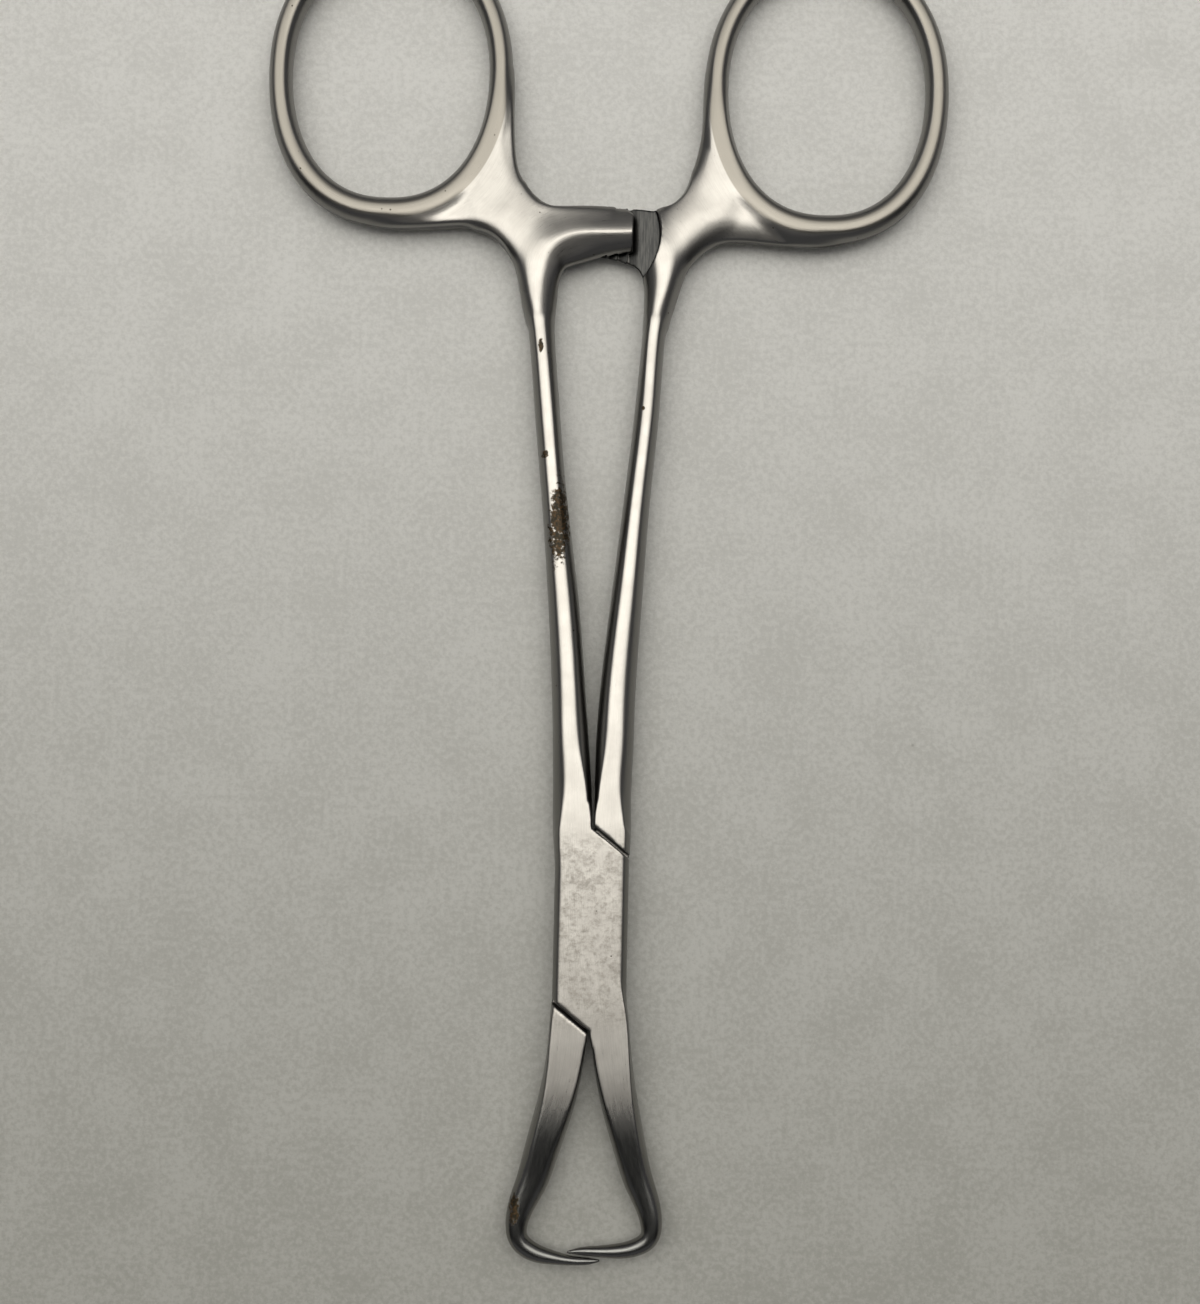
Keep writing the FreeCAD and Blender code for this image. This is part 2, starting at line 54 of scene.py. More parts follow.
# Lock: its long edges are rounded in one with a spare height that the grinding takes off.
LOCK_HALF_WIDTH = 3.65
LOCK_EDGE = 1.2
LOCK_SPARE = 0.3
LOCK_UPPER_END, LOCK_LOWER_END = 12.5, -11.5
SHOULDER_REACH = 7.7
SHOULDER_ANGLE = radians(51.6)
SHOULDER_GAP = 0.28
CROTCH, CROTCH_END = 0.12, 14.0
SHANK_CROTCH_Y, SHANK_CROTCH_SLOPE = 10.4, 0.2
JAW_CROTCH_Y, JAW_CROTCH_SLOPE = -10.0, 0.28
UPPER_CUT_END, LOWER_CUT_END = 64.0, -28.0  # Y where the cuts past the box half's shoulders end
# Corners of the lock: place and direction outwards on the side that the corner is on, and rounding
TOP_CORNER, TOP_CORNER_OUT, TOP_ROUNDING = (2.35, 11.0), (0.8, 0.6), 1.5
FOOT_CORNER, FOOT_CORNER_OUT, FOOT_ROUNDING = (4.5, -8.0), (0.9, -0.43), 1.0

# Tongue, its slot and the rivet's bore
TONGUE_HALF_WIDTH = 1.95
TONGUE_HALF_THICKNESS = 0.8
TONGUE_LEAN = radians(12.9)
OPENING = radians(47.0)
RUNNING_GAP = 0.05
PIN_RADIUS = 1.25
BORE_HALF_LENGTH = 1.4  # it ends inside the cheeks, because the heads are ground flush and can't be seen
GROUND_OVER = 0.006  # how far the ground faces stand over the heads

# Finger rings: middle line of the bar, half sizes across and along, and widths of the bar. The line
# is an oval of a power above 2, which makes it fuller than an ellipse, most of all at the foot.
RING_ACROSS = 11.25
RING_ALONG = 14.3
RING_POWER, RING_FOOT_POWER = 2.14, 0.1
RING_SIDE_WIDTH = 2.4
RING_FOOT_WIDTH = 2.95
RING_THICKNESS = 3.0
RING_LAND = 0.2
LEFT_RING = (BOX_LOW.x + RING_ACROSS + 1.25, 86.08)
RIGHT_RING = (TONGUE_HIGH.x - RING_ACROSS - 1.25, 85.2)

# Webs: they slope down to a rim, most beside the ring, and thin away inside ring and shank.
WEB_HALF_THICKNESS = 1.15
LEFT_WEB_RIM, LEFT_WEB_SLOPE = 1.0, 0.8
RIGHT_WEB_RIM, RIGHT_WEB_SLOPE = 0.5, 2.6
WEB_RING_SLOPE = (0.6, 2.2)
WEB_EDGE = 0.3
WEB_UNDER_RING = 0.2
WEB_MIDDLE = (11.5, 73.5)
WEB_CORE, WEB_END, WEB_THINNING = 7.5, 14.0, 1.4

# Ratchet arms
ARM_MIDDLE_Y = 70.0
ARM_TOP_Y = 72.6
ARM_ROOT_Y = 64.5
ARM_GAP = 0.1
UPPER_ARM_END = 2.75
LOWER_ARM_END = -1.1
ARM_BEVEL = 0.8
RIDGE_START_Y, RIDGE_HALF_WIDTH, RIDGE_SLOPE, RIDGE_FADE = 61.5, 0.4, radians(30), 0.6
RECESS_RADIUS = 6.85
RECESS_CENTRE = 1.3
TOOTH_START, TOOTH_PITCH, TOOTH_DEPTH, TOOTH_COUNT = -0.9, 1.05, 0.4, 4

# How widely the forms of a forging run into each other, and how far crisp edges are softened
SPUR_BLEND, RING_BLEND, SHANK_BLEND = 1.4, 0.8, 1.2
JAW_BLEND, LOCK_BLEND, RIDGE_BLEND = 0.5, 0.3, 0.5
FLAT_BLEND = 0.4
CRISP, SHARP, TOOTH_SOFTNESS = 0.14, 0.1, 0.08

# Stains: middle (x, y) and half lengths along x and y
BOX_STAINS = [((-4.0, 40.2), (1.3, 5.4)), ((-6.3, 57.9), (0.35, 0.9)), ((-5.6, 46.9), (0.5, 0.5))]
TONGUE_STAINS = [((-6.9, -27.3), (0.75, 1.8)), ((4.1, 51.8), (0.25, 0.3))]

# Camera, in metres, and the size of the photograph and its focal length in pixels
CAMERA_PLACE = (0.00065, 0.01265, 0.20175)
CAMERA_TILT, CAMERA_ROLL = radians(4.232), radians(1.25)
IMAGE_WIDTH, IMAGE_HEIGHT = 1200, 1304
FOCAL_PIXELS = 2000.0

# Colours
STEEL_DULL, STEEL_BRIGHT = (0.46, 0.437, 0.40), (0.53, 0.507, 0.465)
STEEL_STREAK = (0.36, 0.34, 0.315)
STEEL_WORN = (0.25, 0.23, 0.20)
# painted shade towards the points
STEEL_PAINTED_POINT_SHADE = (0.17, 0.172, 0.165)
# painted shade: the darker colour of the sloping sides
STEEL_PAINTED_SIDE_SHADE = (0.21, 0.205, 0.195)
STEEL_RING_LAND = (0.29, 0.27, 0.235)
# painted shade of the recess by the arms, with lighter grinding strokes
RECESS_PAINTED_SHADE_DARK, RECESS_PAINTED_SHADE_LIGHT = (0.045, 0.045, 0.044), (0.075, 0.074, 0.07)
PIT = (0.05, 0.04, 0.03)
RUST_DARK, RUST_LIGHT = (0.030, 0.026, 0.014), (0.13, 0.075, 0.03)
PAPER_FAR = (0.84, 0.83, 0.79), (0.95, 0.94, 0.90)
# painted shade: the paper's greyer colour towards the points
PAPER_PAINTED_SHADE = (0.40, 0.395, 0.355), (0.49, 0.485, 0.445)
SPECK = (0.12, 0.11, 0.09)
ROOM_DARK, ROOM_DARKEST = (0.16, 0.16, 0.165), (0.02, 0.02, 0.02)
ROOM_BRIGHT = (1.98, 1.95, 1.86)
LAMP = (1.0, 0.98, 0.94)

# Meshes: step of the grid in plan and upwards, and where it is finer (from, to, step): along x at the
# teeth, and along y at the points and at the arms
STEP = 0.21
RISE_STEP = 0.8 * STEP
FINE_X = [(-2.0, 4.5, 0.12)]
FINE_Y = [(-33.5, -29.5, 0.13), (66.5, 73.5, 0.14)]
RELAXING_TURNS, SETTLING_TURNS = 3, 2


def smooth_max(a, b, blend):
    """The larger of two fields, rounded where they are closer than blend."""
    near = np.maximum(blend - np.abs(a - b), 0) / blend
    return np.maximum(a, b) + near * near * blend / 4


def smooth_min(a, b, blend):
    return -smooth_max(-a, -b, blend)


def spline(marks, values, at):
    """Natural cubic spline through values at marks, read at the marks in at."""
    marks, values = np.array(marks, float), np.array(values, float)
    gaps, steps = np.diff(marks), np.diff(values)
    count = len(marks)
    rows, right = np.eye(count), np.zeros(count)
    for i in range(1, count - 1):
        rows[i, i - 1:i + 2] = gaps[i - 1], 2 * (gaps[i - 1] + gaps[i]), gaps[i]
        right[i] = 3 * (steps[i] / gaps[i] - steps[i - 1] / gaps[i - 1])
    bend = np.linalg.solve(rows, right)
    i = np.clip(np.searchsorted(marks, at) - 1, 0, count - 2)
    d, h = at - marks[i], gaps[i]
    slope = steps[i] / h - h * (2 * bend[i] + bend[i + 1]) / 3
    return values[i] + d * (slope + d * (bend[i] + d * (bend[i + 1] - bend[i]) / (3 * h)))


class Bar:
    """Bar of oval section, ground flat above and below, along a line in plan.

    The line has its width, the height of its flats over the middle plane, the share of the width that
    is flat, and the crest: how far the highest line lies to the right of the middle.
    """

    SAMPLES = 4000  # places on the line
    COARSE = 50  # every how many of them are tried first for the nearest place
    NEAR = 6.0  # how close a point has to be for a search between them

    def __init__(self, x, y, width, height, flat, crest=0.0, closed=False):
        """All but closed are arrays, or numbers, along SAMPLES places on the line."""
        travelled = np.concatenate([[0], np.cumsum(np.hypot(np.diff(x), np.diff(y)))])
        self.length, self.closed = travelled[-1], closed
        self.mark = np.linspace(0, self.length, self.SAMPLES)
        values = {"x": x, "y": y, "width": width, "height": height, "flat": flat, "crest": crest}
        self.table = {name: np.interp(self.mark, travelled, value * np.ones(len(x)))
                      for name, value in values.items()}
        along_x, along_y = (np.gradient(self.table[name], self.mark) for name in ("x", "y"))
        size = np.hypot(along_x, along_y)
        self.table.update(along_x=along_x / size, along_y=along_y / size)

    def at(self, name, mark):
        return np.interp(mark, self.mark, self.table[name])

    def locate(self, x, y):
        """Mark of the nearest place, distance to its right, and how far past the bar's ends."""
        x, y = np.broadcast_arrays(x, y)
        best, mark = np.full(x.shape, np.inf), np.zeros(x.shape)
        for i in range(0, self.SAMPLES, self.COARSE):
            far = (x - self.table["x"][i]) ** 2 + (y - self.table["y"][i]) ** 2
            nearer = far < best
            best[nearer], mark[nearer] = far[nearer], self.mark[i]
        right, past = np.sqrt(best), np.zeros(x.shape)
        near = best < self.NEAR ** 2
        x, y, at = x[near], y[near], mark[near]
        for turn in range(6):
            along_x, along_y = self.at("along_x", at), self.at("along_y", at)
            ahead = (x - self.at("x", at)) * along_x + (y - self.at("y", at)) * along_y
            at = at + 0.9 * np.clip(ahead, -1, 1)
            at = np.mod(at, self.length) if self.closed else np.clip(at, 0, self.length)
        along_x, along_y = self.at("along_x", at), self.at("along_y", at)
        off_x, off_y = x - self.at("x", at), y - self.at("y", at)
        beyond = np.abs(off_x * along_x + off_y * along_y)
        if self.closed:
            beyond[:] = 0
        else:
            beyond[(at > 0) & (at < self.length)] = 0
        mark[near], right[near], past[near] = at, off_x * along_y - off_y * along_x, beyond
        return mark, right, past

    def oval(self, place, z):
        """Field of the bar before its flats are ground: below 0 inside, about the distance outside."""
        mark, right, past = place
        half, crest, height = self.at("width", mark) / 2, self.at("crest", mark), self.at("height", mark)
        rise = height / np.sqrt(1 - self.at("flat", mark) ** 2)
        reach = np.where(right < crest, half + crest, half - crest)
        across, up = (right - crest) / reach, z / rise
        size = np.sqrt(across ** 2 + up ** 2) + 1e-6
        slope = np.sqrt((across / reach) ** 2 + (up / rise) ** 2) + 1e-6
        side = size * (size - 1) / slope
        return np.where(past > 0, np.maximum(side, past), side)


def bar_through(stations):
    """Bar along a smooth line through stations (x, y, width, height, flat, crest)."""
    columns = np.array(stations, float).T
    marks = np.concatenate([[0], np.cumsum(np.hypot(np.diff(columns[0]), np.diff(columns[1])))])
    at = np.linspace(0, marks[-1], Bar.SAMPLES)
    return Bar(*[spline(marks, column, at) for column in columns])


def finger_ring(centre):
    """Ring bar: an oval, fuller and a little wider towards the shank."""
    turn = np.linspace(0, 2 * pi, Bar.SAMPLES)
    c, s = np.cos(turn), np.sin(turn)
    power = RING_POWER - RING_FOOT_POWER * s
    radius = (np.abs(c / RING_ACROSS) ** power + np.abs(s / RING_ALONG) ** power) ** (-1 / power)
    foot = np.clip(-s, 0, 1) ** 2
    width = RING_SIDE_WIDTH + (RING_FOOT_WIDTH - RING_SIDE_WIDTH) * foot
    return Bar(centre[0] + radius * c, centre[1] + radius * s, width, RING_THICKNESS / 2, RING_LAND,
               closed=True)


class Outline:
    """Closed outline in plan: a polygon through smooth runs of points."""

    def __init__(self, *runs):
        """Each run is a list of points with a smooth line through them."""
        points = []
        for run in runs:
            run = np.array(run, float)
            if len(run) > 2:
                marks = np.concatenate([[0], np.cumsum(np.hypot(*np.diff(run, axis=0).T))])
                at = np.linspace(0, marks[-1], 12 * len(run))
                run = np.stack([spline(marks, run[:, 0], at), spline(marks, run[:, 1], at)], axis=1)
            points.extend(run)
        self.points = np.array(points)

    def distance(self, x, y, reach=4.0):
        """Distance to the outline, below 0 inside; beyond reach from it only the sign is right."""
        x, y = np.broadcast_arrays(x, y)
        low, high = self.points.min(0) - reach, self.points.max(0) + reach
        near = (x > low[0]) & (x < high[0]) & (y > low[1]) & (y < high[1])
        px, py = x[near], y[near]
        best, inside = np.full(px.shape, reach ** 2), np.zeros(px.shape, bool)
        for (ax, ay), (bx, by) in zip(self.points, np.roll(self.points, -1, axis=0)):
            dx, dy = bx - ax, by - ay
            if dx * dx + dy * dy < 1e-12:
                continue
            share = np.clip(((px - ax) * dx + (py - ay) * dy) / (dx * dx + dy * dy), 0, 1)
            best = np.minimum(best, (px - ax - share * dx) ** 2 + (py - ay - share * dy) ** 2)
            crosses = (ay > py) != (by > py)
            inside ^= crosses & (px < ax + (py - ay) * dx / (dy if dy else 1))
        result = np.full(x.shape, reach)
        result[near] = np.where(inside, -1, 1) * np.sqrt(best)
        return result


# Stations of the shanks, arms and jaws: x, y, width, height of the flats, flat share, crest.
LEFT_SHANK = [
    (-1.75, 5.0, 3.3, 2.2, 0.70, 0.3), (-2.0, 9.5, 3.9, 2.2, 0.72, 0.45),
    (-2.1, 12.8, 3.88, 2.16, 0.60, 0.85), (-2.34, 17.6, 3.65, 2.1, 0.40, 0.1),
    (-2.66, 22.5, 3.39, 2.07, 0.35, 0), (-3.46, 32.6, 3.06, 1.98, 0.33, -0.05),
    (-4.58, 42.6, 2.55, 1.9, 0.37, 0), (-5.63, 52.8, 2.53, 1.85, 0.34, 0),
    (-6.52, 62.0, 2.8, 1.78, 0.25, -0.3),
]
UPPER_ARM = [
    (-6.7, 65.3, 3.4, 1.85, 0.20, -0.3), (-5.9, 68.0, 4.4, 2.0, 0.10, 0),
    (-3.5, 69.6, 5.2, 2.1, 0.06, 0.15), (-0.4, 70.1, 5.0, 2.1, 0.06, 0.35),
    (4.0, 70.45, 4.4, 2.1, 0.06, 0.55),
]
RIGHT_SHANK = [
    (1.75, 5.0, 3.3, 2.2, 0.70, -0.3), (1.87, 9.5, 3.8, 2.2, 0.74, -0.5),
    (1.90, 12.8, 3.68, 2.16, 0.60, -0.85), (1.99, 17.6, 3.75, 2.1, 0.40, -0.2),
    (2.15, 22.6, 3.6, 2.07, 0.33, -0.15), (2.88, 32.7, 3.11, 1.98, 0.29, -0.08),
    (3.72, 42.8, 2.62, 1.9, 0.30, -0.05), (4.63, 53.0, 2.43, 1.85, 0.31, 0),
    (5.43, 62.5, 2.55, 1.78, 0.30, 0),
]
LOWER_ARM = [
    (5.75, 65.5, 3.2, 1.85, 0.20, 0.2), (5.1, 68.2, 4.4, 2.0, 0.10, 0),
    (3.4, 69.6, 5.2, 2.1, 0.06, 0), (0.4, 70.0, 5.0, 2.1, 0.06, 0),
    (-3.0, 70.2, 4.6, 2.1, 0.06, 0),
]
RIGHT_JAW = [
    (1.45, -5.0, 3.3, 2.2, 0.9, 0), (1.9, -8.0, 3.8, 2.2, 0.92, 0),
    (2.33, -11.9, 3.8, 2.17, 0.92, 0.12), (3.15, -16.75, 3.66, 2.05, 0.74, 0.12),
    (4.35, -21.55, 3.22, 1.72, 0.55, 0), (5.20, -24.45, 2.92, 1.45, 0.42, 0),
    (6.56, -28.6, 2.15, 1.2, 0.30, 0), (6.35, -30.05, 1.86, 1.12, 0.25, 0),
    (5.3, -30.85, 1.7, 1.0, 0.2, 0), (3.0, -31.35, 1.4, 0.82, 0.12, 0),
    (1.2, -31.4, 1.05, 0.62, 0.05, 0), (-0.4, -31.43, 0.72, 0.42, 0.05, 0),
    (-1.6, -31.55, 0.2, 0.14, 0.05, 0),
]
LEFT_JAW = [
    (-1.45, -5.0, 3.3, 2.2, 0.9, 0), (-1.8, -8.0, 3.8, 2.2, 0.92, 0),
    (-2.16, -12.0, 3.74, 2.17, 0.92, -0.12), (-2.99, -16.9, 3.7, 2.05, 0.74, -0.12),
    (-4.34, -21.75, 3.42, 1.72, 0.55, 0), (-5.19, -24.65, 3.14, 1.45, 0.42, 0),
    (-6.62, -28.9, 2.2, 1.2, 0.30, 0), (-6.42, -30.35, 1.95, 1.12, 0.25, 0),
    (-5.4, -31.35, 1.85, 1.0, 0.2, 0), (-3.2, -32.05, 1.4, 0.82, 0.12, 0),
    (-1.2, -32.32, 0.95, 0.62, 0.05, 0), (0.4, -32.36, 0.7, 0.42, 0.05, 0),
    (1.6, -32.3, 0.2, 0.14, 0.05, 0),
]

# Outlines of the webs in plan: the lower edge from the ring's foot to the shank, then across the
# shank and the root of the arm, the upper edge up the ring's side, and back inside its opening.
LEFT_WEB = Outline(
    [(-25.5, 70.9), (-22.5, 70.35), (-19.5, 70.2), (-16.3, 70.4), (-13.83, 70.5), (-12.08, 70.15),
     (-10.58, 69.17), (-9.56, 67.94), (-8.78, 66.45), (-8.3, 64.6), (-7.9, 62.6), (-7.3, 61.0)],
    [(-5.5, 61.0), (-5.1, 62.6), (-5.0, 64.0), (-4.72, 65.4), (-4.0, 66.5), (-2.6, 67.15),
     (-0.8, 67.9), (0.6, 68.4)],
    [(0.6, 72.4), (-5.2, 72.6), (-6.97, 73.01), (-8.23, 74.24), (-9.02, 75.99), (-9.4, 78.2),
     (-9.62, 81.54), (-9.95, 86.0), (-10.3, 88.0)],
    [(-13.5, 88.0), (-14.0, 84.0), (-15.5, 80.5), (-18.0, 77.5), (-21.0, 75.5), (-25.5, 75.0)],
)
RIGHT_WEB = Outline(
    [(27.5, 70.3), (24.6, 69.4), (20.7, 69.05), (18.1, 69.1), (15.5, 69.3), (12.92, 69.40),
     (11.38, 69.14), (9.83, 68.31), (8.57, 66.97), (7.6, 65.2), (6.95, 63.0), (6.3, 60.8)],
    [(4.6, 60.8), (4.45, 62.4), (4.6, 64.0), (4.3, 65.2), (3.7, 66.2), (2.4, 66.9), (0.9, 67.5),
     (-1.0, 68.0)],
    [(-1.0, 72.3), (4.6, 72.4), (6.13, 72.55), (7.66, 73.55), (8.67, 75.42), (9.30, 78.09),
     (9.65, 80.5), (9.85, 82.90), (10.3, 87.0)],
    [(13.5, 87.0), (14.0, 83.0), (15.5, 79.5), (18.0, 76.5), (21.5, 74.6), (27.5, 74.6)],
)

# Spurs: the rounded ridge on each side of a web, from the shank up to the ring's side.
LEFT_SPUR = [
    (-6.3, 57.0, 1.0, 0.3, 0.2, 0), (-6.8, 62.5, 1.6, 0.9, 0.2, 0),
    (-7.5, 67.8, 4.0, 1.55, 0.12, 0), (-9.3, 70.9, 6.4, 1.5, 0.08, 0),
    (-11.3, 73.8, 6.2, 1.45, 0.06, 0), (-11.7, 77.0, 3.4, 1.35, 0.08, 0),
    (-11.3, 81.5, 1.6, 0.9, 0.1, 0), (-11.1, 86.0, 0.8, 0.4, 0.1, 0),
]
RIGHT_SPUR = [
    (5.1, 57.0, 1.0, 0.3, 0.2, 0), (5.6, 62.5, 1.6, 0.9, 0.2, 0), (6.6, 68.0, 4.0, 1.55, 0.12, 0),
    (8.6, 71.6, 6.0, 1.5, 0.08, 0), (10.9, 75.0, 5.4, 1.45, 0.06, 0),
    (11.3, 78.5, 3.0, 1.35, 0.08, 0), (11.3, 82.0, 1.6, 0.9, 0.1, 0),
    (11.2, 86.0, 0.8, 0.4, 0.1, 0),
]


def rounded_plate(plan, z, half_height, edge):
    """Plate over a plan field, with its top and bottom edges rounded."""
    out, up = plan + edge, np.abs(z) - half_height + edge
    return np.hypot(np.maximum(out, 0), np.maximum(up, 0)) + np.minimum(np.maximum(out, up), 0) - edge


def toward_shoulder(x, y):
    """How far a point lies in the direction in which the upper shoulder faces."""
    return cos(SHOULDER_ANGLE) * x + sin(SHOULDER_ANGLE) * y


def tooth_field(x, z, up):
    """Below 0 in the saw-tooth notches in the flat side of the arm above (up 1) or below (up -1)."""
    turn = (x - TOOTH_START) / TOOTH_PITCH
    rise = turn - np.floor(turn)
    depth = TOOTH_DEPTH * (rise if up > 0 else 1 - rise)
    inside = (turn > 0) & (turn < TOOTH_COUNT)
    return np.where(inside, up * z - ARM_GAP / 2 - depth, 1.0)


class Half:
    """One forging: ring, web, shank with its arm, and jaw; side is -1 for the ring on the left."""

    def __init__(self, side, ring_centre, shank, jaw, web, web_rim, web_slope, spur):
        self.side = side
        self.ring, self.shank, self.jaw = finger_ring(ring_centre), bar_through(shank), bar_through(jaw)
        self.web, self.web_rim, self.web_slope = web, web_rim, web_slope
        self.spur = bar_through(spur)
        self.ridge_start = np.interp(RIDGE_START_Y, self.shank.table["y"], self.shank.mark)

    def web_field(self, x, y, z, outwards):
        """The web with its spur; outwards is the distance out from the ring's middle line."""
        web_plan = self.web.distance(x, y)
        plan = np.maximum(web_plan, -outwards - WEB_UNDER_RING)
        away = np.hypot(x - self.side * WEB_MIDDLE[0], y - WEB_MIDDLE[1])
        thinner = np.clip((away - WEB_CORE) / (WEB_END - WEB_CORE), 0, 1) ** 2
        near, far = WEB_RING_SLOPE
        inwards = np.clip(np.maximum(-web_plan / self.web_slope, (far - outwards) / (far - near)), 0, 1)
        rise = (WEB_HALF_THICKNESS - self.web_rim) * inwards * (2 - inwards)
        web = rounded_plate(plan, z, self.web_rim + rise - WEB_THINNING * thinner, WEB_EDGE)
        spur = np.maximum(self.spur.oval(self.spur.locate(x, y), z), plan)
        return smooth_min(web, spur, SPUR_BLEND)

    def forging(self, x, y, z, lock):
        """Bars, web and the half's part of the lock, blended and then ground flat."""
        bars = (self.ring, self.shank, self.jaw)
        places = [bar.locate(x, y) for bar in bars]
        ring, shank, jaw = (bar.oval(place, z) for bar, place in zip(bars, places))
        body = smooth_min(self.web_field(x, y, z, places[0][1]), ring, RING_BLEND)
        shank = smooth_max(shank, self.ridge(places[1], z), RIDGE_BLEND)
        body = smooth_min(smooth_min(body, shank, SHANK_BLEND), jaw, JAW_BLEND)
        body = smooth_min(body, lock, LOCK_BLEND)
        weights = [1 / (place[1] ** 2 + place[2] ** 2 + FLAT_BLEND) ** 2 for place in places]
        heights = [bar.at("height", place[0]) for bar, place in zip(bars, places)]
        flat = sum(weight * height for weight, height in zip(weights, heights)) / sum(weights)
        return smooth_max(body, np.abs(z) - flat - GROUND_OVER, CRISP)

    def ridge(self, place, z):
        """The sloping sides that give the ratchet arm its ridge; the shank before it stays clear."""
        mark, right = place[:2]
        roof = (np.abs(z) - self.shank.at("height", mark)) * cos(RIDGE_SLOPE)
        roof += (np.abs(right - self.shank.at("crest", mark)) - RIDGE_HALF_WIDTH) * sin(RIDGE_SLOPE)
        return roof - RIDGE_FADE * np.maximum(self.ridge_start - mark, 0)

    def arm_cuts(self, body, x, y, z):
        """The arm's end, its flat side with teeth, and the ground recess beside the other arm's end."""
        up = -self.side
        end = UPPER_ARM_END if up > 0 else -LOWER_ARM_END
        out = up * x - end
        bevel = np.minimum((out + (y - ARM_TOP_Y) + ARM_BEVEL) / 2 ** 0.5, out + 2 * ARM_BEVEL)
        below_arm = ARM_ROOT_Y - y
        body = smooth_max(body, np.minimum(smooth_max(out, bevel, CRISP), -below_arm), CRISP)
        relief = np.hypot(x - up * RECESS_CENTRE, y - ARM_MIDDLE_Y) - RECESS_RADIUS
        body = smooth_max(body, -smooth_max(relief, up * z - ARM_GAP / 2, CRISP), CRISP)
        teeth = smooth_max(tooth_field(x, z, up), below_arm, CRISP)
        return smooth_max(body, -teeth, TOOTH_SOFTNESS)


def slot_field(x, y, z):
    """Below 0 in the slot that leaves room for the tongue from locked to open."""
    middle = TONGUE_LEAN + OPENING / 2
    across = x * cos(middle) - y * sin(middle)
    along = x * sin(middle) + y * cos(middle)
    half = (TONGUE_HALF_WIDTH + RUNNING_GAP) / cos(OPENING / 2)
    fan = np.abs(across) * cos(OPENING / 2) - np.abs(along) * sin(OPENING / 2) - half * cos(OPENING / 2)
    return np.maximum(fan, np.abs(z) - TONGUE_HALF_THICKNESS - RUNNING_GAP)


def past_corner(x, y, corner, out):
    """How far a point lies past the slanted cut of a corner."""
    return out[0] * (x - corner[0]) + out[1] * (y - corner[1])


def lock_block(x, y, z, side):
    """The lock before its shoulders are cut; the shank on the given side leaves it at the top."""
    block = rounded_plate(np.abs(x) - LOCK_HALF_WIDTH, z, MIDDLE + LOCK_SPARE, LOCK_EDGE + LOCK_SPARE)
    top_corner = past_corner(side * x, y, TOP_CORNER, TOP_CORNER_OUT)
    foot_corner = past_corner(-side * x, y, FOOT_CORNER, FOOT_CORNER_OUT)
    ends = np.maximum(smooth_max(top_corner, y - LOCK_UPPER_END, TOP_ROUNDING),
                      smooth_max(LOCK_LOWER_END - y, foot_corner, FOOT_ROUNDING))
    jaw_crotch = JAW_CROTCH_SLOPE * (JAW_CROTCH_Y - y)
    shank_crotch = SHANK_CROTCH_SLOPE * (y - SHANK_CROTCH_Y)
    crotch = np.where(y < 0, jaw_crotch, shank_crotch) - np.abs(x)
    return np.maximum(np.maximum(block, crotch), ends)


def box_field(x, y, z):
    """The box half: left ring and shank, upper arm, box and right jaw."""
    whole = BOX.arm_cuts(BOX.forging(x, y, z, lock_block(x, y, z, -1)), x, y, z)
    shoulder = toward_shoulder(x, y)
    upper_cut = np.minimum(np.minimum(x + CROTCH, UPPER_CUT_END - y), shoulder - SHOULDER_REACH)
    lower_cut = np.minimum(np.minimum(CROTCH - x, y - LOWER_CUT_END), -shoulder - SHOULDER_REACH)
    whole = smooth_max(whole, np.maximum(upper_cut, lower_cut), SHARP)
    whole = smooth_max(whole, -slot_field(x, y, z), SHARP)
    bore = np.maximum(np.hypot(x, y) - PIN_RADIUS, np.abs(z) - BORE_HALF_LENGTH)
    return np.maximum(whole, -bore)


def tongue_field(x, y, z):
    """The tongue half: right ring and shank, lower arm, tongue and left jaw."""
    whole = TONGUE.arm_cuts(TONGUE.forging(x, y, z, lock_block(x, y, z, 1)), x, y, z)
    shoulder = toward_shoulder(x, y)
    behind = SHOULDER_REACH + SHOULDER_GAP - np.abs(shoulder)
    crotch = np.minimum(np.where(y > 0, CROTCH - x, CROTCH + x), CROTCH_END - np.abs(y))
    whole = smooth_max(whole, np.maximum(behind, crotch), SHARP)
    across = x * cos(TONGUE_LEAN) - y * sin(TONGUE_LEAN)
    tongue = np.maximum(np.abs(across) - TONGUE_HALF_WIDTH, np.abs(z) - TONGUE_HALF_THICKNESS)
    tongue = np.maximum(tongue, np.abs(shoulder) - SHOULDER_REACH - 2 * SHOULDER_GAP)
    whole = np.minimum(whole, tongue)
    return np.maximum(whole, PIN_RADIUS + RUNNING_GAP - np.hypot(x, y))


BOX = Half(-1, LEFT_RING, LEFT_SHANK + UPPER_ARM, RIGHT_JAW,
           LEFT_WEB, LEFT_WEB_RIM, LEFT_WEB_SLOPE, LEFT_SPUR)
TONGUE = Half(1, RIGHT_RING, RIGHT_SHANK + LOWER_ARM, LEFT_JAW,
              RIGHT_WEB, RIGHT_WEB_RIM, RIGHT_WEB_SLOPE, RIGHT_SPUR)


def grid_lines(low, high, step, fine=()):
    """Grid lines from low to high; each (from, to, step) in fine has closer lines."""
    lines = [low]
    while lines[-1] < high:
        steps = [s for a, b, s in fine if a <= lines[-1] < b]
        lines.append(lines[-1] + (steps[0] if steps else step))
    return np.array(lines)


# Corners of a grid cell
CORNERS = [(i, j, k) for i in (0, 1) for j in (0, 1) for k in (0, 1)]


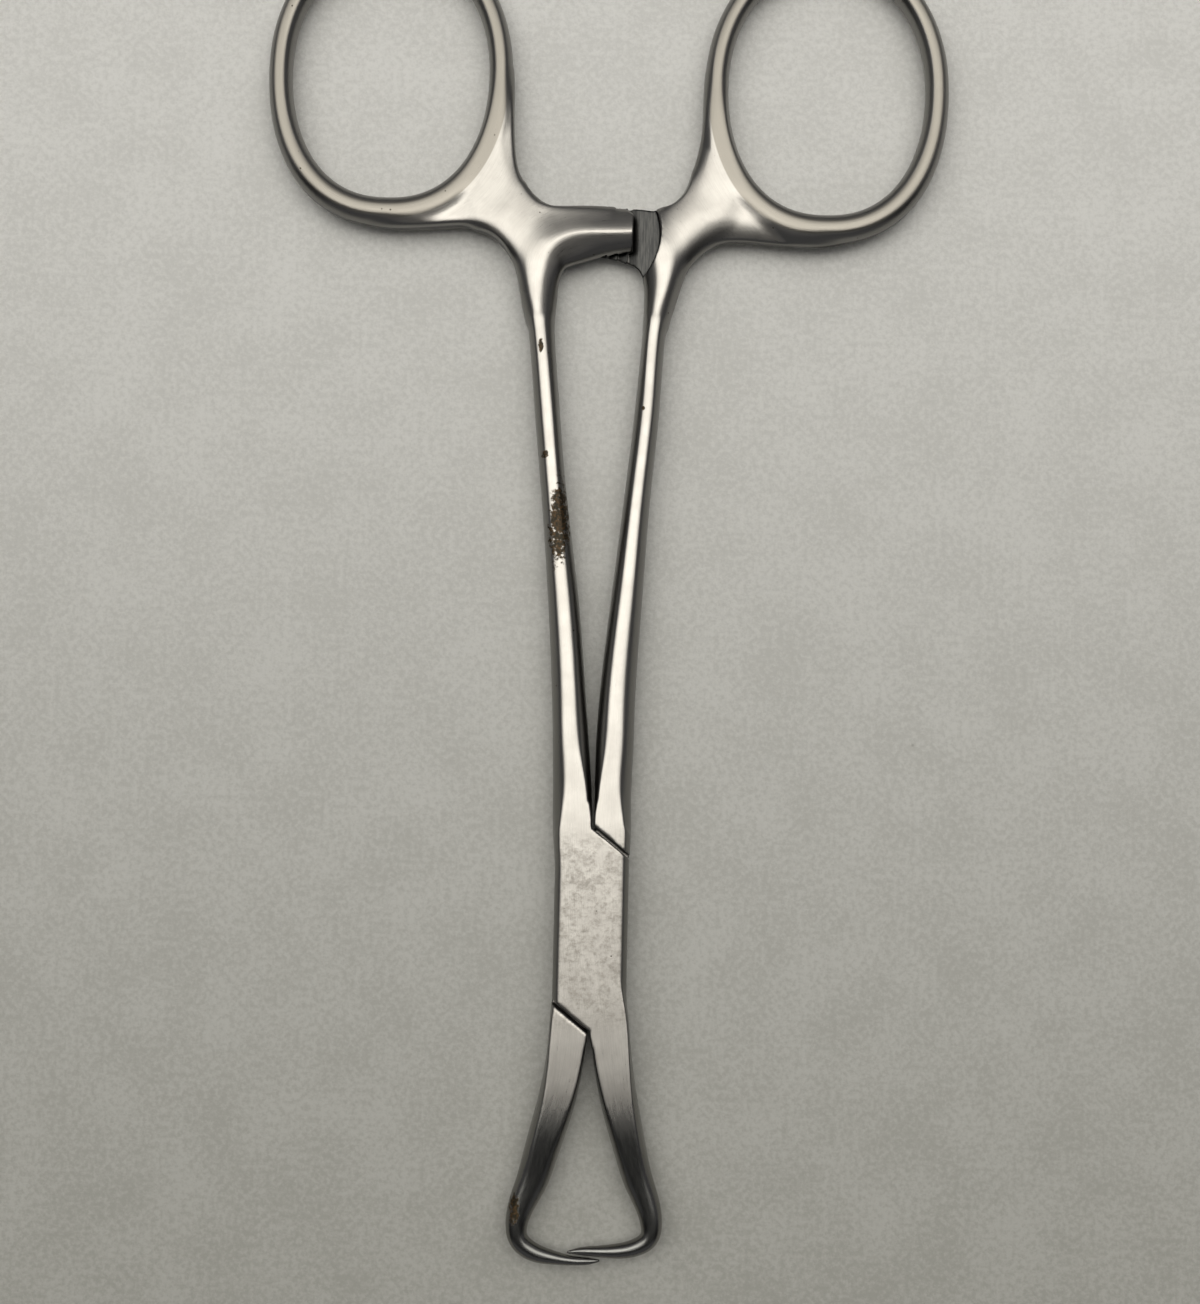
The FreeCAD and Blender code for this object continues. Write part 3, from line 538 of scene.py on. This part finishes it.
def net_points(values, axes, cells):
    """For each cell, the middle of the places where the surface crosses its edges."""
    value, place = {}, {}
    for corner in CORNERS:
        index = cells + corner
        value[corner] = values[tuple(index.T)]
        place[corner] = np.stack([axes[n][index[:, n]] for n in range(3)], axis=1)
    total, hits = np.zeros((len(cells), 3)), np.zeros(len(cells))
    for a in CORNERS:
        for n in range(3):
            if a[n]:
                continue
            b = tuple(a[m] + (m == n) for m in range(3))
            crosses = (value[a] < 0) != (value[b] < 0)
            share = value[a][crosses] / (value[a][crosses] - value[b][crosses])
            total[crosses] += place[a][crosses] + share[:, None] * (place[b][crosses] - place[a][crosses])
            hits[crosses] += 1
    return total / hits[:, None]


def net_quads(inside, number, n):
    """A quad, facing outwards, round each grid edge along axis n that the surface crosses."""
    first = [slice(0, -1) if m == n else slice(1, -1) for m in range(3)]
    second = [slice(1, None) if m == n else slice(1, -1) for m in range(3)]
    here, there = inside[tuple(first)], inside[tuple(second)]
    edges = np.argwhere(here != there)
    outwards = here[tuple(edges.T)]
    base = edges + [0 if m == n else 1 for m in range(3)]
    p, q = (n + 1) % 3, (n + 2) % 3
    around = []
    for back_p, back_q in ((1, 1), (0, 1), (0, 0), (1, 0)):
        cell = base.copy()
        cell[:, p] -= back_p
        cell[:, q] -= back_q
        around.append(number[tuple(cell.T)])
    around = np.stack(around, axis=1)
    around[~outwards] = around[~outwards][:, ::-1]
    return around


def surface_net(values, axes):
    """Points and quads of the surface where grid values change sign, one point per cell crossed."""
    inside = values < 0
    shape = np.array(values.shape) - 1
    count = sum(inside[i:i + shape[0], j:j + shape[1], k:k + shape[2]].astype(np.int8)
                for i, j, k in CORNERS)
    cells = np.argwhere((count > 0) & (count < 8))
    number = np.full(tuple(shape), -1, np.int32)
    number[tuple(cells.T)] = np.arange(len(cells))
    quads = [net_quads(inside, number, n) for n in range(3)]
    return net_points(values, axes, cells), np.concatenate(quads)


def gradient(field, points, reach=0.03):
    sides = []
    for n in range(3):
        step = np.zeros(3)
        step[n] = reach
        ahead, behind = (field(*(points + sign * step).T) for sign in (1, -1))
        sides.append((ahead - behind) / (2 * reach))
    return np.stack(sides, axis=1)


def settle(field, points, step):
    """Points moved onto the field's surface."""
    slope = gradient(field, points)
    size = (slope ** 2).sum(1) + 1e-9
    move = -field(*points.T)[:, None] * slope / size[:, None]
    length = np.linalg.norm(move, axis=1)[:, None] + 1e-9
    return points + move * np.minimum(1, 0.5 * step / length), slope / np.sqrt(size)[:, None]


def relax(points, quads, normals):
    """Points moved along the surface towards the middle of their neighbours."""
    ends = np.concatenate([quads[:, [i, (i + 1) % 4]] for i in range(4)])
    count = np.bincount(ends[:, 0], minlength=len(points))
    sums = [np.bincount(ends[:, 0], points[ends[:, 1], n], len(points)) for n in range(3)]
    middle = np.stack(sums, axis=1)
    shift = middle / np.maximum(count, 1)[:, None] - points
    shift -= (shift * normals).sum(1)[:, None] * normals
    return points + 0.5 * shift


def forge(name, half, field, low, high):
    """Mesh of a half from its field, with its grain."""
    margin = 3 * STEP
    axes = [grid_lines(low.x - margin, high.x + margin, STEP, FINE_X),
            grid_lines(low.y - margin, high.y + margin, STEP, FINE_Y),
            np.arange(-MIDDLE - margin, MIDDLE + margin, RISE_STEP)]
    x, y, z = np.meshgrid(*axes, indexing="ij", sparse=True)
    values = np.broadcast_to(field(x, y, z), tuple(len(axis) for axis in axes))
    points, quads = surface_net(values, axes)
    for turn in range(RELAXING_TURNS):
        points, normals = settle(field, points, STEP)
        points = relax(points, quads, normals)
    for turn in range(SETTLING_TURNS):
        points, normals = settle(field, points, STEP)
    mesh = bpy.data.meshes.new(name)
    mesh.from_pydata(((points + [0, 0, MIDDLE]) * MM).tolist(), [], quads.tolist())
    mesh.polygons.foreach_set("use_smooth", np.ones(len(mesh.polygons), bool))
    mesh.update()
    piece = bpy.data.objects.new(name, mesh)
    bpy.context.scene.collection.objects.link(piece)
    print(name, len(points), "points", len(quads), "faces")
    add_grain(piece, points, half)
    return piece


def add_grain(piece, points, half):
    """Stores, for each point, how far along and across its bar it lies, for the brushed finish."""
    x, y, z = points.T
    bars = [half.ring, half.shank, half.jaw]
    places = [bar.locate(x, y) for bar in bars]
    across = np.stack([np.hypot(place[1], place[2]) for place in places])
    nearest = across.argmin(0)
    along = np.choose(nearest, [place[0] + 200 * n for n, place in enumerate(places)])
    right = np.choose(nearest, [place[1] for place in places])
    grain = piece.data.attributes.new("grain", "FLOAT_VECTOR", "POINT")
    grain.data.foreach_set("vector", np.stack([along, right, z], axis=1).astype(np.float32).ravel())


class Nodes:
    """Short words for building a node tree."""

    def __init__(self, tree):
        self.tree = tree
        tree.nodes.clear()

    def add(self, kind, values=(), inputs=(), **settings):
        """A node with its settings, the values of its unlinked inputs and the links to the others."""
        node = self.tree.nodes.new(kind)
        for name, value in settings.items():
            setattr(node, name, value)
        for name, value in dict(values).items():
            node.inputs[name].default_value = value
        for name, link in dict(inputs).items():
            self.tree.links.new(link, node.inputs[name])
        return node

    def math(self, operation, a, b=None, c=None):
        node = self.add("ShaderNodeMath", operation=operation)
        for index, value in enumerate((a, b, c)):
            if value is None:
                continue
            if isinstance(value, (int, float)):
                node.inputs[index].default_value = value
            else:
                self.tree.links.new(value, node.inputs[index])
        return node.outputs[0]

    def product(self, a, b):
        return self.math("MULTIPLY", a, b)

    def total(self, start, *terms):
        """Start plus each (value, weight)."""
        for value, weight in terms:
            start = self.math("MULTIPLY_ADD", value, weight, start)
        return start

    def split(self, vector):
        """The X, Y and Z of a vector."""
        return self.add("ShaderNodeSeparateXYZ", inputs={"Vector": vector}).outputs

    def noise(self, vector, scale, detail=3.0, roughness=0.55):
        values = {"Scale": scale, "Detail": detail, "Roughness": roughness}
        node = self.add("ShaderNodeTexNoise", values, {"Vector": vector})
        return node.outputs["Fac"]

    def stretched(self, vector, x, y, z):
        node = self.add("ShaderNodeVectorMath", inputs={0: vector}, operation="MULTIPLY")
        node.inputs[1].default_value = (x, y, z)
        return node.outputs[0]

    def ramp(self, value, low, high):
        """0 below low, 1 above high and smooth between; it falls where low is above high."""
        node = self.add("ShaderNodeMapRange", {"From Min": low, "From Max": high}, {"Value": value},
                        interpolation_type="SMOOTHSTEP")
        return node.outputs["Result"]

    def mix(self, share, a, b):
        node = self.add("ShaderNodeMix", data_type="RGBA", inputs={"Factor": share})
        for index, value in ((6, a), (7, b)):
            if isinstance(value, tuple):
                node.inputs[index].default_value = (*value, 1.0)
            else:
                self.tree.links.new(value, node.inputs[index])
        return node.outputs[2]

    def within(self, value, low, high, soft):
        """1 where value lies between low and high, fading over soft at each end."""
        return self.product(self.ramp(value, low - soft, low + soft),
                            self.ramp(value, high + soft, high - soft))

    def specks(self, vector, scale, radius, size, chosen):
        """1 in scattered dots, which fade over radius (out, in); a noise of the given size picks them."""
        dots = self.add("ShaderNodeTexVoronoi", {"Scale": scale, "Randomness": 1.0}, {"Vector": vector})
        return self.product(self.ramp(dots.outputs["Distance"], *radius),
                            self.ramp(self.noise(vector, size, 0.0), *chosen))

    def surface(self, values, inputs, height, strength, distance):
        """The surface of the material, with its values and linked inputs, and bumps from a height."""
        bump = self.add("ShaderNodeBump", {"Strength": strength, "Distance": distance}, {"Height": height})
        inputs = {**inputs, "Normal": bump.outputs["Normal"]}
        shader = self.add("ShaderNodeBsdfPrincipled", values, inputs)
        self.add("ShaderNodeOutputMaterial", inputs={"Surface": shader.outputs[0]})


def new_material(name):
    material = bpy.data.materials.new(name)
    material.use_nodes = True
    return material, Nodes(material.node_tree)


def stain_mask(nodes, x, y, patches, stains):
    """1 in the stains, with ragged edges."""
    mask = None
    for (mx, my), (rx, ry) in stains:
        away_x = nodes.math("DIVIDE", nodes.math("SUBTRACT", x, mx), rx)
        away_y = nodes.math("DIVIDE", nodes.math("SUBTRACT", y, my), ry)
        away = nodes.math("ADD", nodes.product(away_x, away_x), nodes.product(away_y, away_y))
        ragged = nodes.math("MULTIPLY_ADD", patches, 2.4, nodes.product(away, 0.8))
        spot = nodes.ramp(ragged, 1.75, 1.45)
        mask = spot if mask is None else nodes.math("MAXIMUM", mask, spot)
    return mask


def brushed_colour(nodes, streaks, clouds, worn, point_shade_and_gloss):
    """Satin steel with clouds and darker streaks, worn in the lock, with painted shade towards the points.
    """
    colour = nodes.mix(nodes.ramp(clouds, 0.3, 0.7), STEEL_DULL, STEEL_BRIGHT)
    colour = nodes.mix(nodes.product(nodes.ramp(streaks, 0.62, 0.35), 0.35), colour, STEEL_STREAK)
    colour = nodes.mix(nodes.product(worn, 0.75), colour, STEEL_WORN)
    # painted shade: the jaws and points darken towards their tips
    return nodes.mix(nodes.product(point_shade_and_gloss, 0.85), colour, STEEL_PAINTED_POINT_SHADE)


def half_colour(nodes, colour, place, y, grain, ground):
    """Adds what only the halves have: the browner flats of the rings, and painted shade with lighter
    grinding strokes on the ground recess and the faces beside it near the middle plane.
    """
    bar = nodes.split(grain)
    land = nodes.product(nodes.ramp(bar["X"], 150.0, 149.0), nodes.ramp(bar["Y"], 1.0, 0.85))
    colour = nodes.mix(nodes.product(land, ground), colour, STEEL_RING_LAND)
    # Painted shade: faces near the middle plane between y 63 and 74, which are the recess by the arms and
    # the sides there, are painted nearly black with lighter grinding strokes.
    low = nodes.product(nodes.within(y, 63.0, 74.0, 0.5), nodes.within(bar["Z"], -0.45, 0.3, 0.1))
    strokes = nodes.noise(nodes.stretched(place, 7.0, 0.5, 1.0), 1.0, 3.0, 0.6)
    return nodes.mix(low, colour, nodes.mix(nodes.ramp(strokes, 0.35, 0.65), RECESS_PAINTED_SHADE_DARK, RECESS_PAINTED_SHADE_LIGHT))


def steel(name, stains=(), half=False):
    """Satin steel: fine brushing along each bar, painted shade on the sloping sides and towards the
    points, faint clouds, pits and stains.
    """
    material, nodes = new_material(name)
    place = nodes.add("ShaderNodeTexCoord").outputs["Object"]
    place = nodes.stretched(place, 1 / MM, 1 / MM, 1 / MM)
    separate = nodes.split(place)
    x, y = separate["X"], separate["Y"]
    grain = nodes.add("ShaderNodeAttribute", attribute_name="grain").outputs["Vector"]
    streaks = nodes.noise(nodes.stretched(grain, 0.35, 9.0, 9.0), 1.0, 4.0, 0.7)
    fine = nodes.noise(nodes.stretched(grain, 2.5, 26.0, 26.0), 1.0, 2.0, 0.6)
    clouds = nodes.noise(place, 0.42, 4.0, 0.6)
    patches = nodes.noise(place, 1.7, 5.0, 0.65)
    pits = nodes.specks(place, 0.9, (0.10, 0.05), 0.9, (0.62, 0.66))
    worn = nodes.product(nodes.within(y, -9.5, 9.0, 1.5), nodes.ramp(patches, 0.35, 0.75))
    # Painted shade on the jaws from y -15 to -21 and on the points; the same ramp makes them a little less
    # rough.
    point_shade_and_gloss = nodes.ramp(y, -15.0, -21.0)
    normal = nodes.split(nodes.add("ShaderNodeNewGeometry").outputs["Normal"])
    # Painted shade: ground is 1 on faces within about 16 degrees of flat; steeper faces, fully past about
    # 37 degrees, take the darker side colour.
    ground = nodes.ramp(nodes.math("ABSOLUTE", normal["Z"]), 0.80, 0.96)

    colour = brushed_colour(nodes, streaks, clouds, worn, point_shade_and_gloss)
    # painted shade on the sloping sides
    colour = nodes.mix(ground, STEEL_PAINTED_SIDE_SHADE, colour)
    if half:
        colour = half_colour(nodes, colour, place, y, grain, ground)
    colour = nodes.mix(pits, colour, PIT)
    roughness = nodes.total(0.22, (streaks, 0.16), (worn, 0.10), (point_shade_and_gloss, -0.08))
    height = nodes.total(streaks, (fine, 0.5), (clouds, 0.6), (worn, 0.5), (pits, -2.0))
    if stains:
        mask = stain_mask(nodes, x, y, patches, stains)
        rust = nodes.mix(nodes.ramp(nodes.noise(place, 4.0, 4.0), 0.4, 0.65), RUST_DARK, RUST_LIGHT)
        colour = nodes.mix(nodes.product(mask, 0.92), colour, rust)
        roughness = nodes.total(roughness, (mask, 0.35))
        height = nodes.total(height, (mask, 0.8))
    nodes.surface({"Metallic": 1.0}, {"Base Color": colour, "Roughness": roughness}, height, 0.25, 0.00003)
    return material


def dress_half(piece, body, node, material):
    """Puts a forging on its body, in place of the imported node."""
    piece.data.materials.append(material)
    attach(piece, body)
    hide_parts(node)


def dress_pin():
    """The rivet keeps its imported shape."""
    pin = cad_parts["lock_pin"]
    pin.data.materials.clear()
    pin.data.materials.append(steel("pin_ground"))


def paper_floor():
    """Pale, faintly mottled paper that the clamp lies on, with painted shade that greys it towards the
    points.
    """
    bpy.ops.mesh.primitive_plane_add(size=3.0, location=(0, 0, 0))
    floor = bpy.context.object
    floor.name = "floor"
    material, nodes = new_material("paper")
    place = nodes.add("ShaderNodeTexCoord").outputs["Object"]
    fibres = nodes.noise(place, 1700.0, 5.0, 0.7)
    clouds = nodes.noise(place, 130.0, 4.0, 0.6)
    specks = nodes.specks(place, 60.0, (0.022, 0.012), 35.0, (0.52, 0.56))
    shade = nodes.math("MULTIPLY_ADD", clouds, 0.3, nodes.product(fibres, 0.7))
    shade = nodes.ramp(shade, 0.4, 0.6)
    near, far = nodes.mix(shade, *PAPER_PAINTED_SHADE), nodes.mix(shade, *PAPER_FAR)
    # Painted shade: the paper greys towards the points, fully below y -0.06 m, with none above y 0.11 m.
    colour = nodes.mix(nodes.ramp(nodes.split(place)["Y"], -0.06, 0.11), near, far)
    colour = nodes.mix(nodes.product(specks, 0.7), colour, SPECK)
    finish = {"Roughness": 0.9, "Specular IOR Level": 0.2}
    nodes.surface(finish, {"Base Color": colour}, fibres, 0.3, 0.0003)
    floor.data.materials.append(material)


def area_light(name, place, target, size, power, colour):
    light = bpy.data.lights.new(name, "AREA")
    light.shape = "RECTANGLE"
    light.size, light.size_y = size
    light.energy = power
    light.color = colour
    lamp = bpy.data.objects.new(name, light)
    lamp.location = place
    lamp.rotation_euler = (Vector(target) - Vector(place)).to_track_quat("-Z", "Y").to_euler()
    bpy.context.scene.collection.objects.link(lamp)


def studio():
    """A soft lamp in a room that is bright overhead and dark low down, aside and past the points."""
    area_light("overhead", (-0.02, 0.08, 0.4), (0, 0.04, 0), (0.30, 0.17), 0.13, LAMP)
    world = bpy.data.worlds.new("room")
    world.use_nodes = True
    nodes = Nodes(world.node_tree)
    direction = nodes.split(nodes.add("ShaderNodeTexCoord").outputs["Generated"])
    across = nodes.math("ABSOLUTE", nodes.math("ADD", direction["X"], 0.05))
    along, up = direction["Y"], direction["Z"]
    overhead = nodes.product(nodes.ramp(across, 0.80, 0.45), nodes.ramp(up, 0.0, 0.4))
    amid = nodes.product(nodes.ramp(along, -0.19, 0.05), nodes.ramp(along, 0.85, 0.25))
    dark = nodes.mix(nodes.within(along, -0.55, -0.2, 0.1), ROOM_DARK, ROOM_DARKEST)
    colour = nodes.mix(nodes.product(overhead, amid), dark, ROOM_BRIGHT)
    background = nodes.add("ShaderNodeBackground", {"Strength": 1.0}, {"Color": colour})
    nodes.add("ShaderNodeOutputWorld", inputs={"Surface": background.outputs[0]})
    bpy.context.scene.world = world


def photo_camera():
    """Camera almost straight above the clamp, as the photograph was taken."""
    camera = bpy.data.objects.new("camera", bpy.data.cameras.new("camera"))
    bpy.context.scene.collection.objects.link(camera)
    camera.data.sensor_width = 36.0
    camera.data.lens = camera.data.sensor_width * FOCAL_PIXELS / max(IMAGE_WIDTH, IMAGE_HEIGHT)
    camera.location = CAMERA_PLACE
    camera.rotation_euler = (CAMERA_TILT, 0, CAMERA_ROLL)
    camera.data.clip_start, camera.data.clip_end = 0.01, 10.0
    bpy.context.scene.camera = camera


box_piece = forge("box_half_forging", BOX, box_field, BOX_LOW, BOX_HIGH)
box_steel = steel("box_half_satin", BOX_STAINS, half=True)
dress_half(box_piece, "box_body", "box_half", box_steel)
tongue_piece = forge("tongue_half_forging", TONGUE, tongue_field, TONGUE_LOW, TONGUE_HIGH)
tongue_steel = steel("tongue_half_satin", TONGUE_STAINS, half=True)
dress_half(tongue_piece, "tongue_body", "tongue_half", tongue_steel)
dress_pin()
paper_floor()
studio()
photo_camera()
bpy.context.scene.view_settings.view_transform = "Standard"
